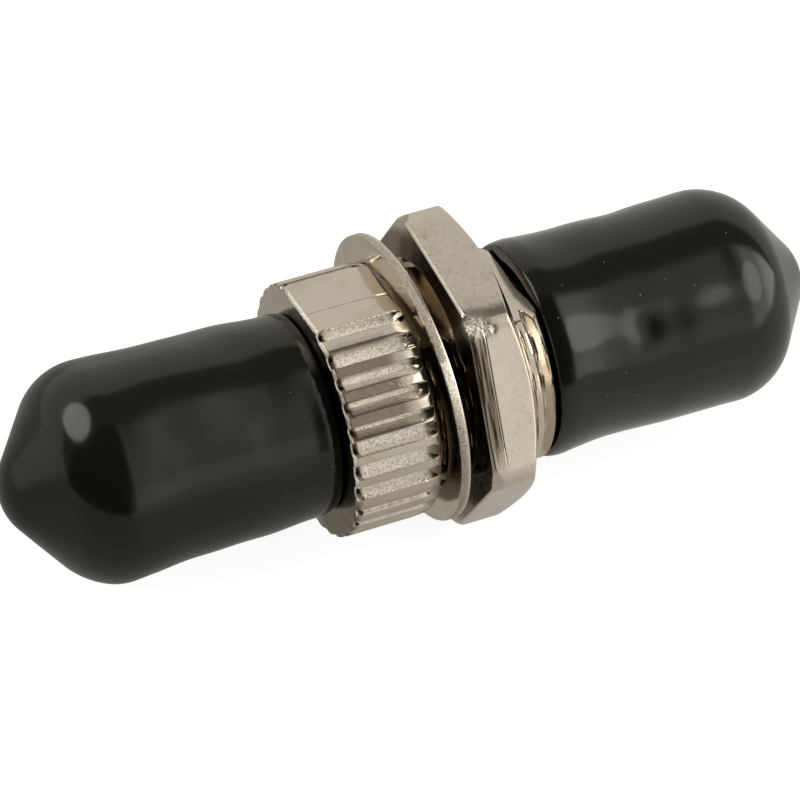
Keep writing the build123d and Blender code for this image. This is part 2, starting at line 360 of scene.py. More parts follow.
@dataclass(frozen=True)
class Groove:
    """One groove of the knurl: where its sides and floor lie, and how frosted floor and lower side are.

    Places are in pitches from the middle of the flat. The sides slant as the die was drawn.
    """

    start: float
    floor_start: float
    floor_end: float
    end: float
    frost: float = 1.0
    side_frost: float = 1.0
    frost_depth: Ramp = (0.1, 0.3)  # shares of the depth between which the frost sets in
    side_blur: Ramp = (-0.02, 0.03)  # pitches round the floor's end, where its frost changes

    def relief(self, place: Array) -> Array:
        """Share of the full depth: 1 over the floor, falling evenly to 0 at both edges."""
        rise = np.clip((place - self.start) / (self.floor_start - self.start), 0, 1)
        return np.minimum(rise, np.clip((self.end - place) / (self.end - self.floor_end), 0, 1))

    def grain(self, place: Array) -> Array:
        """How frosted the groove is: floor and lower side each have their own share.

        Args:
            place: round the collar, in pitches.

        Returns:
            The frosting at each place.
        """
        on_side = smooth_step(place, *(self.floor_end + end for end in self.side_blur))
        frost = self.frost * (1 - on_side) + self.side_frost * on_side
        return smooth_step(self.relief(place), *self.frost_depth) * frost


def dress(piece: Piece, material: Material) -> None:
    """Gives a piece one material in place of what it has."""
    piece.data.materials.clear()
    piece.data.materials.append(material)


class NickelBase(Enum):
    """What the plating lies on, with how fine its skin is: size of the pits in mm and their depth."""

    CAST_ZINC = (0.11, 0.003)
    PRESSED_STEEL = (0.20, 0.002)
    TURNED_BRASS = (0.13, 0.003)


@dataclass(frozen=True)
class NickelPlate:
    """Bright nickel plating, which gives a warm grey mirror that dulls where its ground is rough.

    The grain of a piece says where the ground is as cast: there the plating is frosted and sparkles.
    Its painted_shade says where shade is painted into the colour as a dark brown: in gaps between parts, and
    where the surface mirrors dark surroundings.
    """

    name: str
    base: NickelBase
    colour: str = "#DAD1C4"
    tarnish: str = "#C6B8A2"
    frost: str = "#FBF7EE"
    # dark brown, painted in as shade where the painted shade attribute says
    painted_shade_colour: str = "#655740"
    roughness: float = 0.15
    cloud_size: float = 1.6    # mm, of the slow waves left under the plating and of its stains
    peel_depth: float = 0.02   # mm, of those waves
    cast_roughness: float = 0.40
    dustiness: float = 0.85    # share of a dull white skin on the high spots of the frosted ground
    cast_size: float = 0.10    # mm, of the sparkling grain on the floors of the knurl
    cast_depth: float = 0.12

    def material(self) -> Material:
        """Builds the material: a metal with rare fine pits, and a frosted grain where it is as cast.

        Returns:
            The new material.
        """
        made, tree, shader, place = new_material(self.name)
        pit_size, pit_depth = self.base.value
        grain, painted_shade = (
            add_node(tree, "ShaderNodeAttribute", attribute_name=name).outputs["Fac"]
            for name in ("grain", "painted_shade")
        )
        # Size, detail and roughness of each noise, and then the range of each value and what it becomes.
        noises = (self.cast_size, 2.0, 0.6), (self.cloud_size, 3.0, 0.5), (pit_size, 4.0, 0.5)
        sparkle, clouds, skin = (
            add_node(
                tree, "ShaderNodeTexNoise",
                {"Vector": place, "Scale": 1 / (size * MM), "Detail": detail, "Roughness": roughness},
            ).outputs["Fac"]
            for size, detail, roughness in noises
        )
        ranges = (
            (sparkle, 0.40, 0.54, 0.3, 1.0), (clouds, 0.5, 0.8, 0.0, 0.6), (skin, 0.64, 0.74, 0.0, 1.0),
            (skin, 0.3, 0.8, self.roughness * 0.75, self.roughness * 1.5),
        )
        high_spots, stained, pits, rough = (
            add_node(
                tree, "ShaderNodeMapRange",
                {"Value": source, "From Min": start, "From Max": end, "To Min": low, "To Max": high},
            ).outputs["Result"]
            for source, start, end, low, high in ranges
        )
        frosting = add_node(
            tree, "ShaderNodeMath", {0: grain, 1: high_spots}, operation="MULTIPLY"
        ).outputs[0]
        bare = add_node(
            tree, "ShaderNodeMapRange", {"Value": frosting, "To Min": 1.0, "To Max": 1 - self.dustiness}
        ).outputs["Result"]
        colour = linear(self.colour)
        # Over the plating's colour go the stain clouds, then the frost, then the painted shade.
        for share, over in ((stained, self.tarnish), (frosting, self.frost), (painted_shade, self.painted_shade_colour)):
            colour = add_node(
                tree, "ShaderNodeMix", {0: share, 6: colour, 7: linear(over)}, data_type="RGBA"
            ).outputs[2]
        rougher = add_node(
            tree, "ShaderNodeMix", {0: grain, 2: rough, 3: self.cast_roughness}, data_type="FLOAT"
        ).outputs[0]
        peel = add_node(
            tree, "ShaderNodeBump", {"Height": clouds, "Distance": self.peel_depth * MM, "Strength": 1.0}
        ).outputs["Normal"]
        fine = add_node(
            tree, "ShaderNodeBump",
            {"Height": pits, "Distance": pit_depth * MM, "Strength": 1.0, "Normal": peel}, invert=True,
        ).outputs["Normal"]
        cast = add_node(
            tree, "ShaderNodeBump",
            {"Height": sparkle, "Distance": self.cast_depth * MM, "Strength": grain, "Normal": fine},
        ).outputs["Normal"]
        feed(shader, {"Base Color": colour, "Metallic": bare, "Roughness": rougher, "Normal": cast})
        return made


@dataclass(frozen=True)
class TurnedBrass:
    """Bare brass off the lathe, with fine rings that stretch its highlights round the axis."""

    name: str = "turned_brass"
    colour: str = "#D9B86A"
    ring_colour: str = "#C8A558"
    roughness: float = 0.28
    ring_pitch: float = 0.2262     # mm, coarser than a real feed mark so that it shows
    ring_depth: float = 0.004

    def material(self) -> Material:
        """Builds the material: a metal with rings across the fibre axis.

        Returns:
            The new material.
        """
        made, tree, shader, place = new_material(self.name)
        rings = add_node(
            tree, "ShaderNodeTexWave",
            {"Vector": place, "Scale": WAVE / (self.ring_pitch * MM), "Distortion": 0.4},
            wave_type="BANDS", bands_direction="X",
        ).outputs["Fac"]
        tint = add_node(
            tree, "ShaderNodeMix", {0: rings, 6: linear(self.colour), 7: linear(self.ring_colour)},
            data_type="RGBA",
        ).outputs[2]
        relief = add_node(
            tree, "ShaderNodeBump", {"Height": rings, "Distance": self.ring_depth * MM, "Strength": 1.0}
        ).outputs["Normal"]
        feed(shader, {"Metallic": 1.0, "Roughness": self.roughness, "Base Color": tint, "Normal": relief})
        return made


@dataclass(frozen=True)
class PolishedZirconia:
    """Ground and polished zirconia ceramic: dense white with a cool gloss and hardly any grain."""

    name: str = "zirconia_ceramic"
    colour: str = "#EDEBE3"
    cloud_colour: str = "#E2DFD4"
    cloud_size: float = 0.8    # mm
    roughness: float = 0.14
    ior: float = 2.1

    def material(self) -> Material:
        """Builds the material: a white dielectric with faint clouding.

        Returns:
            The new material.
        """
        made, tree, shader, place = new_material(self.name)
        clouds = add_node(
            tree, "ShaderNodeTexNoise", {"Vector": place, "Scale": 1 / (self.cloud_size * MM), "Detail": 3.0}
        ).outputs["Fac"]
        tint = add_node(
            tree, "ShaderNodeMix", {0: clouds, 6: linear(self.colour), 7: linear(self.cloud_colour)},
            data_type="RGBA",
        ).outputs[2]
        feed(shader, {"IOR": self.ior, "Roughness": self.roughness, "Base Color": tint})
        return made


@dataclass(frozen=True)
class DippedVinyl:
    """Soft black vinyl dipped over a mandrel: a wet gloss on a skin that is never quite even.

    Dust shows as pale specks.
    """

    name: str = "dipped_vinyl"
    colour: str = "#0D0E0B"
    dust: str = "#8A8880"
    roughness: float = 0.14
    ior: float = 1.5
    speck_size: float = 0.9    # mm between cells that may hold a speck
    peel_size: float = 2.2     # mm, of the slow waves in the skin
    peel_depth: float = 0.01

    def material(self) -> Material:
        """Builds the material: glossy black, with slow orange peel and rare specks.

        Returns:
            The new material.
        """
        made, tree, shader, place = new_material(self.name)
        cells = add_node(
            tree, "ShaderNodeTexVoronoi",
            {"Vector": place, "Scale": 1 / (self.speck_size * MM), "Randomness": 1.0},
        ).outputs["Distance"]
        specks = add_node(
            tree, "ShaderNodeMapRange", {"Value": cells, "From Min": 0.035, "From Max": 0.02}
        ).outputs["Result"]
        tint = add_node(
            tree, "ShaderNodeMix", {0: specks, 6: linear(self.colour), 7: linear(self.dust)}, data_type="RGBA"
        ).outputs[2]
        clouds = add_node(
            tree, "ShaderNodeTexNoise", {"Vector": place, "Scale": 1 / (self.peel_size * MM), "Detail": 2.0}
        ).outputs["Fac"]
        rough = add_node(
            tree, "ShaderNodeMapRange",
            {"Value": clouds, "To Min": self.roughness * 0.8, "To Max": self.roughness * 1.3},
        ).outputs["Result"]
        relief = add_node(
            tree, "ShaderNodeBump", {"Height": clouds, "Distance": self.peel_depth * MM, "Strength": 0.6}
        ).outputs["Normal"]
        feed(shader, {"IOR": self.ior, "Base Color": tint, "Roughness": rough, "Normal": relief})
        return made


@dataclass
class AdapterHousing:
    """The plated casting: two barrels with studs and key slots, the knurled collar, the threaded neck.

    Two numbers are the ends of a ramp, and four those of one up and one down: in mm from the collar's
    front face, or round it in pitches of the knurl from the middle of the flat, if nothing else is said.
    """

    barrel_r: float = 3.75
    socket_r: float = 3.05
    mouth_chamfer: float = 0.3
    socket_chamfer: float = 0.2
    seat_r: float = 1.65
    seat_end: float = 5.75
    entry_r: float = 1.42
    lead_in: float = 0.35
    holder_r: float = 2.4
    holder_end: float = 6.35
    holder_edge: float = 0.3
    web: float = 1.5
    keyway_width: float = 1.2
    keyway_length: float = 2.4
    barrel_columns: tuple[int, int] = (180, 9)  # outside and inside a key slot
    stud_r: float = 0.95
    stud_reach: float = 4.15
    stud_setback: float = 2.6
    stud_columns: int = 40
    stud_side: float = 0.9         # length of its side, of which the drop of a ring is a share
    collar_r: float = 5.67
    collar_start: float = -4.925
    collar_end: float = -0.975
    collar_edge: float = 0.14
    collar_roll: float = 0.95      # length over which the ridges roll off at the washer's side
    collar_roll_depth: float = 0.13
    collar_zones: tuple[float, float] = (0.4, 1.0)  # lengths of the closer rows at both ends
    collar_rows: tuple[int, int, int] = (13, 37, 25)
    collar_flat: float = 5.35
    face_rows: tuple[float, ...] = (0.0, 0.35, 0.7, 0.97)  # of its end faces, as shares of the way out
    neck_r: float = 4.7625
    neck_end: float = 4.925
    neck_hidden: float = 0.2       # length of it inside the collar
    neck_chamfer: float = 0.2
    neck_flat: float = 3.8
    neck_grid: tuple[int, int] = (122, 300)  # rows and columns
    neck_face_rows: int = 3        # of each of its end faces
    neck_shaded: Ramp = (0.8, 1.1)  # mm from the origin, where its painted shade ends
    flat_turn: float = math.radians(-10.4)
    hidden_r: float = 3.4          # inside the barrel's wall, where collar and neck start
    mould_line: float = 0.48       # place of the line on the flat
    mould_depth: float = 0.03      # of that line
    mould_width: float = 0.05
    knurl_count: int = 33
    knurl_samples: int = 20        # columns of the mesh to each groove and ridge
    knurl_depth: float = 0.38
    knurl_wander: float = 0.08     # share by which the depth wanders, over a length of wander_size
    wander_size: float = 1.3
    grit_size: float = 0.15
    grit_count: int = 240          # its grains round the collar
    grit_depth: float = 0.012
    knurl_lip: float = 0.35        # share of its depth that a groove has in the thin lip at its mouth
    knurl_mouth: float = 0.4       # extra share that it has just behind the lip
    lip_end: Ramp = (0.03, 0.13)
    mouth_end: Ramp = (0.22, 0.4)
    knurl_run_out: float = 0.5     # length of the ramp that ends a groove at the washer's side
    knurl_rim: float = 0.09        # plain rim left there
    frost_start: Ramp = (0.28, 0.38)
    frost_end: Ramp = (0.3, 0.55)  # mm from the plain rim
    lit_from: Ramp = (-2.0, -0.8)  # where the front edge starts to be frosted white, a painted highlight on its lit side
    lit_to: Ramp = (8.6, 9.8)
    gap_shade: float = 0.9        # painted shade in the gaps: on the collar's faces and the neck's start
    face_shaded: Ramps = (-0.3, 0.4, 2.6, 3.1)  # radians, where the front face gets it: painted shade and the cap's dark reflection
    pit_shade: float = 0.97       # painted shadow in the pits behind the lip
    pit_shaded: Ramps = (0.07, 0.13, 0.27, 0.37)
    washer_side_shade: float = 0.5        # painted shade on the knurl beside the washer
    groove_shade_extra: float = 0.8     # extra share that its grooves have there
    shade_onset: float = 0.6        # pitches over which that starts beside the mould line
    ridge_shade: float = 0.62    # painted shade on the ridges that face the viewer, for the dark room that they mirror
    ridge_shaded: Ramps = (2.3, 3.0, 6.2, 7.2)
    ridge_unshaded: Ramp = (1.5, 0.9)  # mm from the rear face, where that ends
    low_shade: float = 0.8        # painted shade at the front edge where it turns down
    low_shaded: Ramp = (0.1, 0.4)
    groove: Groove = Groove(-0.35, -0.15, 0.15, 0.35)
    shallow: float = 0.5           # depth of the grooves round the back, as a share of the full one
    facet_place: float = 2.72      # far edge of the facet on the ridge below the flat
    facet_shift: float = 0.3       # from there back to the middle of what it may cut
    facet_half: float = 0.42       # half the width of that
    facet_turn: float = math.radians(-1)
    seen_grooves: tuple[Groove, ...] = (
        Groove(-2.28, -2.20, -1.92, -1.84, 0.0, 0.0),
        Groove(1.74, 1.80, 2.06, 2.14),
        Groove(2.86, 2.92, 3.38, 3.46),
        Groove(3.88, 3.94, 4.16, 4.47, 1.0, 0.7),
        Groove(4.89, 4.95, 5.12, 5.51, 1.0, 0.2),
        Groove(5.90, 5.96, 6.12, 6.44, 1.0, 0.2),
        Groove(6.50, 6.60, 7.02, 7.12),
        Groove(7.53, 7.63, 8.08, 8.18),
        Groove(8.55, 8.65, 9.10, 9.22),
    )
    seen_margin: float = 0.2       # ridge kept after the last of them
    thread_pitch: float = 0.79375
    thread_depth: float = 0.40
    thread_crest: float = 0.27     # width of its flat top
    thread_root: float = 0.06
    thread_start: float = 0.892    # place of a crest, straight up, in pitches from the origin
    thread_end: float = 4.70       # where the plain rim of the neck starts
    thread_fade: float = 0.06

    def flatten(self, r: Array, turn: Array, height: Array | float) -> Array:
        """Cuts a flat: r is at most height / cos(turn from the flat's normal).

        Args:
            r: radii.
            turn: of the columns.
            height: of the flat over the axis.

        Returns:
            The radii that are left.
        """
        away = wrapped(turn - self.flat_turn)
        facing = np.maximum(np.cos(away), 1e-3)
        return np.where(np.cos(away) > 0, np.minimum(r, height / facing), r)

    def with_faces(self, x: Array, r: Array, out: Array) -> tuple[Array, Array]:
        """Adds the end faces to a side, as rows that go out from inside the barrel's wall.

        Args:
            x: rows of the side.
            r: its radii.
            out: rows of a face, as shares of the way out.

        Returns:
            Places and radii of front face, side and rear face.
        """
        front = self.hidden_r + (r[:1] - self.hidden_r) * out
        rear = self.hidden_r + (r[-1:] - self.hidden_r) * out[::-1]
        places = np.concatenate([np.full_like(out, x[0, 0]), x, np.full_like(out, x[-1, 0])])
        return places, np.concatenate([front, r, rear])

    def barrels(self) -> Skin:
        """The tube from mouth to mouth with all that is inside it, as one closed profile carried round.

        Where a column lies in a key slot, x is held back to the slot's end.

        Returns:
            The surface.
        """
        front, rear = (corner.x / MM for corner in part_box("housing"))
        outline = np.array([
            (front, self.barrel_r - self.mouth_chamfer),
            (front + self.mouth_chamfer, self.barrel_r),
            (rear - self.mouth_chamfer, self.barrel_r),
            (rear, self.barrel_r - self.mouth_chamfer),
            (rear, self.socket_r + self.socket_chamfer),
            (rear - self.socket_chamfer, self.socket_r),
            (self.web, self.socket_r),
            (self.web, self.seat_r),
            (-self.seat_end, self.seat_r),
            (-self.seat_end, self.entry_r),
            (self.lead_in - self.holder_end, self.entry_r),
            (-self.holder_end, self.entry_r + self.lead_in),
            (-self.holder_end, self.holder_r - self.holder_edge),
            (self.holder_edge - self.holder_end, self.holder_r),
            (-self.web, self.holder_r),
            (-self.web, self.socket_r),
            (front + self.socket_chamfer, self.socket_r),
            (front, self.socket_r + self.socket_chamfer),
        ])
        half_slot = self.keyway_width / 2 / self.barrel_r
        step = 0.002
        outside, inside = self.barrel_columns
        even = np.linspace(half_slot + step, TURN - half_slot - step, outside)
        turn = self.flat_turn + np.concatenate([even, np.linspace(-half_slot, half_slot, inside)])
        in_slot = np.abs(wrapped(turn - self.flat_turn)) <= half_slot + step / 2
        x = np.broadcast_to(outline[:, :1], (len(outline), len(turn)))
        held = np.clip(x, front + self.keyway_length, rear - self.keyway_length)
        return Skin.round_axis(np.where(in_slot, held, x), outline[:, 1:], turn, closed=True)

    def studs(self) -> list[Skin]:
        """Four bayonet studs, each a turned pin whose top follows a cylinder round the fibre axis.

        A point is at x + s cos(a) along the axis, s sin(a) across it and h out from it, where s and h
        follow the pin's profile and the top is at h = √(reach² - (s sin(a))²).

        Returns:
            One surface for each stud.
        """
        front, rear = (corner.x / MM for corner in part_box("housing"))
        around = np.linspace(0, TURN, self.stud_columns, endpoint=False)
        # Six rings from the root to the middle of the top: share of the radius, and drop below the top.
        spread = np.array([0, 1, 1, 0.94, 0.5, 0])[:, None] * self.stud_r
        drop = np.array([1, 1, 0.06, 0, 0, 0])[:, None]
        top = np.sqrt(self.stud_reach ** 2 - (spread * np.sin(around)) ** 2)
        height = top * (1 - drop) + drop * np.where(drop == 1, self.hidden_r, top - self.stud_side)
        along, across = spread * np.cos(around), spread * np.sin(around)
        made = []
        for x in (front + self.stud_setback, rear - self.stud_setback):
            for side in (self.flat_turn + TURN / 4, self.flat_turn - TURN / 4):
                y = -height * math.sin(side) - across * math.cos(side)
                z = height * math.cos(side) - across * math.sin(side)
                made.append(Skin.from_grid(np.stack([x + along, y, z], -1), closed=False))
        return made

    def knurl(self, place: Array) -> tuple[Array, Array]:
        """The knurl's depth, as a share of the full one, and its frosting.

        Args:
            place: round the collar from the middle of the flat, in pitches.

        Returns:
            Both as arrays of the places' shape.
        """
        even = self.shallow * smooth_step(self.groove.relief(place - np.round(place)), 0, 1)
        first, last = self.seen_grooves[0].start, self.seen_grooves[-1].end + self.seen_margin
        relief = np.where((place > first) & (place < last), 0, even)
        grain = np.zeros_like(relief)
        for groove in self.seen_grooves:
            relief = np.maximum(relief, groove.relief(place))
            grain = np.maximum(grain, groove.grain(place))
        return relief, grain

    def collar(self) -> Skin:
        """The knurled collar.

        The radius is the collar's, less a quarter ellipse at each edge, less depth * across * along:
        across is the knurl's relief, and along is low in the thin lip at the front face, more than 1
        just behind it, and falls evenly to 0 at the rim that the grooves leave at the washer's side.
        The floors get a random relief. A narrow facet cuts the ridge below the flat, the flat cuts all
        of it, and a mould line runs along the flat.

        Returns:
            The surface.
        """
        columns = self.knurl_count * self.knurl_samples
        turn = self.flat_turn + np.linspace(0, TURN, columns, endpoint=False)[None, :]
        length = self.collar_end - self.collar_start
        stops = 0, self.collar_zones[0], length - self.collar_zones[1], length
        zones = [np.linspace(*zone) for zone in zip(stops, stops[1:], self.collar_rows)]
        x = np.concatenate([zones[0], zones[1][1:], zones[2][1:]])[:, None]
        at_edge = np.clip(1 - x / self.collar_edge, 0, 1)
        at_roll = np.clip(1 - (length - x) / self.collar_roll, 0, 1)
        drop = self.collar_edge * (1 - np.sqrt(1 - at_edge ** 2))
        drop = drop + self.collar_roll_depth * (1 - np.sqrt(1 - at_roll ** 2))
        place = wrapped(turn - self.flat_turn) * self.knurl_count / TURN
        across, frosting = self.knurl(place)
        behind_lip = smooth_step(x, *self.lip_end)
        along = self.knurl_lip + (1 - self.knurl_lip) * behind_lip
        along = along + self.knurl_mouth * behind_lip * smooth_fall(x, *self.mouth_end)
        along = along * np.clip((length - self.knurl_rim - x) / self.knurl_run_out, 0, 1)
        grit = smooth_noise(x / self.grit_size, turn / TURN, self.grit_count, seed=11)
        wander = smooth_noise(x / self.wander_size, turn / TURN, self.knurl_count, seed=13)
        depth = self.knurl_depth * (1 + self.knurl_wander * wander)
        relief = across * along
        r = self.collar_r - drop - depth * relief + self.grit_depth * grit * relief
        aside = (place - self.mould_line) * TURN / self.knurl_count * self.collar_r
        line = self.mould_depth * np.exp(-((aside / self.mould_width) ** 2))
        reach = self.flat_turn + self.facet_place * TURN / self.knurl_count - self.facet_turn
        facet = (self.collar_r * math.cos(reach) - drop) / np.cos(turn - self.facet_turn)
        on_facet = np.abs(place - self.facet_place + self.facet_shift) < self.facet_half
        r = np.where(on_facet, np.minimum(r, facet), r)
        r = self.flatten(r, turn, self.collar_flat - drop - line)
        places, radii = self.with_faces(x, r, np.array(self.face_rows)[:, None])
        grain, painted_shade = self.collar_finish(x, turn, across, frosting)
        places = self.collar_start + places
        return Skin.round_axis(places, radii, turn, closed=True, grain=grain, painted_shade=painted_shade)

    def collar_finish(self, x: Array, turn: Array, across: Array, frosting: Array) -> tuple[Array, Array]:
        """How grainy the collar is, and how much shade is painted on it.

        Frost lies in the grooves between their mouths and their ends, and on the front edge over its lit
        side, where its white stands in as a painted highlight. Painted shade fills the pits behind the lip,
        darkens the ridges that face the viewer for the dark room they mirror, and lies at the washer, at the
        low front edge, on the rear face and on the front face where it mirrors the cap.

        Args:
            x: rows of its side, from the front face.
            turn: its columns.
            across: the knurl's relief in each column.
            frosting: of each column.

        Returns:
            Both for the rows of front face, side and rear face.
        """
        length = self.collar_end - self.collar_start
        run_out = length - self.knurl_rim
        place = wrapped(turn - self.flat_turn) * self.knurl_count / TURN
        faces = len(self.face_rows)
        grain = np.zeros((len(x) + 2 * faces, turn.shape[1]))
        ramp = smooth_step(length - x, *(self.knurl_rim + end for end in self.frost_end))
        # frost on the front edge only over its lit side: rough, and its white a painted highlight
        lit_side = smooth_step(place, *self.lit_from) * smooth_fall(place, *self.lit_to)
        edge = np.minimum(2 * np.clip(1 - x / self.collar_edge, 0, 1), 1) * lit_side
        grain[faces:-faces] = np.maximum(frosting * ramp * smooth_step(x, *self.frost_start), edge)
        # Painted shade: the rear face keeps the full gap shade, the front face gets it where it mirrors the
        # cap, and the side gets its own below.
        painted_shade = np.full_like(grain, self.gap_shade)
        around = wrapped(turn)
        on_face = smooth_step(around, *self.face_shaded[:2]) * smooth_fall(around, *self.face_shaded[2:])
        painted_shade[:faces] = self.gap_shade * on_face
        # painted shadow in the pits behind the lip
        in_pits = smooth_step(x, *self.pit_shaded[:2]) * smooth_fall(x, *self.pit_shaded[2:])
        # painted shade on the knurl at the washer, more in its grooves
        at_washer = (1 + self.groove_shade_extra * across) * smooth_step(x, run_out - self.knurl_run_out, run_out)
        at_washer = at_washer * smooth_step(place, self.mould_line, self.mould_line + self.shade_onset)
        # painted shade on the ridges facing the viewer, for the dark room that they mirror
        shaded_ridges = smooth_step(place, *self.ridge_shaded[:2]) * smooth_fall(place, *self.ridge_shaded[2:])
        shaded_ridges = shaded_ridges * (1 - across) * smooth_fall(x, *(length - end for end in self.ridge_unshaded))
        # painted shade where the front edge turns down
        low_down = smooth_step(place, *self.lit_to) * smooth_fall(x, *self.low_shaded)
        in_grooves = self.pit_shade * across * in_pits + self.washer_side_shade * at_washer
        on_ridges = np.maximum(self.ridge_shade * shaded_ridges, self.low_shade * low_down)
        painted_shade[faces:-faces] = np.maximum(in_grooves, on_ridges)
        return grain, painted_shade

    def neck(self) -> Skin:
        """The neck with a right-hand thread cut by its flat.

        The height of the thread is a triangle wave of x / pitch - turn / a full turn, clipped to flat
        crests and roots, so a crest moves one pitch along +X for each turn from straight up towards
        the viewer. It ends in a plain rim.

        Returns:
            The surface.
        """
        rows, columns = self.neck_grid
        turn = np.linspace(0, TURN, columns, endpoint=False)[None, :]
        x = np.linspace(self.collar_end - self.neck_hidden, self.neck_end, rows)[:, None]
        phase = (x / self.thread_pitch - turn / TURN - self.thread_start) % 1
        away = np.minimum(phase, 1 - phase) * self.thread_pitch
        crest, root = self.thread_crest / 2, (self.thread_pitch - self.thread_root) / 2
        height = np.clip((root - away) / (root - crest), 0, 1)
        height = np.maximum(height, smooth_step(x, self.thread_end - self.thread_fade, self.thread_end))
        r = self.neck_r - self.thread_depth * (1 - height)
        r = np.minimum(r, self.neck_r - self.neck_chamfer + (self.neck_end - x))
        r = self.flatten(r, turn, self.neck_flat)
        places, radii = self.with_faces(x, r, np.arange(self.neck_face_rows)[:, None] / self.neck_face_rows)
        # painted shade on the neck's start, in the gap between collar and washer
        painted_shade = self.gap_shade * smooth_fall(places, *self.neck_shaded)
        return Skin.round_axis(places, radii, turn, closed=True, painted_shade=painted_shade)

    def build(self, plating: Material) -> Piece:
        """Builds the casting in place of its plain node and dresses it.

        Args:
            plating: its finish.

        Returns:
            The piece.
        """
        skins = [self.barrels(), *self.studs(), self.collar(), self.neck()]
        piece = make_piece("plated_housing", skins, sharp=38)
        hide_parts("housing")
        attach(piece, "adapter_body")
        dress(piece, plating)
        return piece


@dataclass
class PanelWasher:
    """The flat washer, pressed from sheet, with a rolled edge on one side and a sheared rim.

    It hangs tilted on the neck, as its plain node does.
    """

    bore_r: float = 5.1325
    outer_r: float = 6.5025
    thickness: float = 0.45
    columns: int = 360
    tilt: float = math.radians(3)
    tilt_turn: float = math.radians(41)    # of the line that it is tilted about
    burr: float = 0.08
    fine_edge: float = 0.08
    bore_edge: float = 0.05
    wave: float = 0.012
    wave_count: int = 5
    rim_grain: float = 0.8
    # painted shade on the sheared rim, all round except near the top
    rim_shade: float = 0.8
    rim_skin: Ramp = (0.06, 0.01)  # depth at which the grain of the rim starts and is full
    # painted shade on the rear face, in the gap by the nut
    back_shade: float = 0.85
    back_unshaded: Ramp = (6.1, 6.4)  # radii where the painted shade on its rear face ends
    shaded_from: Ramp = (math.radians(8), math.radians(28))

    def build(self, plating: Material) -> Piece:
        """Builds the washer: a rounded rectangle carried round, waved a little, tilted and put in place.

        The tilt is a turn about Z, from +X towards +Y, and then a turn about X, from +Y towards +Z.

        Args:
            plating: its finish.

        Returns:
            The piece.
        """
        low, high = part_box("panel_washer")
        half = self.thickness / 2
        corners = np.array([
            (-half, self.bore_r), (-half, self.outer_r), (half, self.outer_r), (half, self.bore_r),
        ])[:, None]
        edges = np.array([self.bore_edge, self.burr, self.fine_edge, self.bore_edge])
        path = filled_in(rounded_path(corners, edges, steps=6, closed=True), gap=0.15, closed=True)
        turn = np.linspace(0, TURN, self.columns, endpoint=False)[None, :]
        lift = self.wave * smooth_noise(np.ones((1, 1)), turn / TURN, self.wave_count, seed=21)
        r = path[..., 1]
        x = np.clip(path[..., 0] + lift, -half, half)
        rim = self.rim_grain * smooth_step(r, *(self.outer_r - depth for depth in self.rim_skin))
        before_edge = smooth_fall(x, 0, half - self.fine_edge)
        # Painted shade: on the rear face by the nut, and on the rim except at its rear edge and near the top.
        behind = self.back_shade * smooth_step(x, half / 2, half) * smooth_fall(r, *self.back_unshaded)
        painted_shade = behind + self.rim_shade * before_edge * rim * smooth_step(turn, *self.shaded_from)
        skin = Skin.round_axis(x, r, turn, closed=True, grain=rim * before_edge, painted_shade=painted_shade)
        tilted = Matrix.Rotation(self.tilt_turn, 3, "X") @ Matrix.Rotation(self.tilt, 3, "Z")
        skin.points = skin.points @ np.array(tilted).T + np.array(low + high) / 2 / MM
        piece = make_piece("plated_washer", [skin], sharp=40)
        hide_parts("panel_washer")
        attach(piece, "washer")
        dress(piece, plating)
        return piece


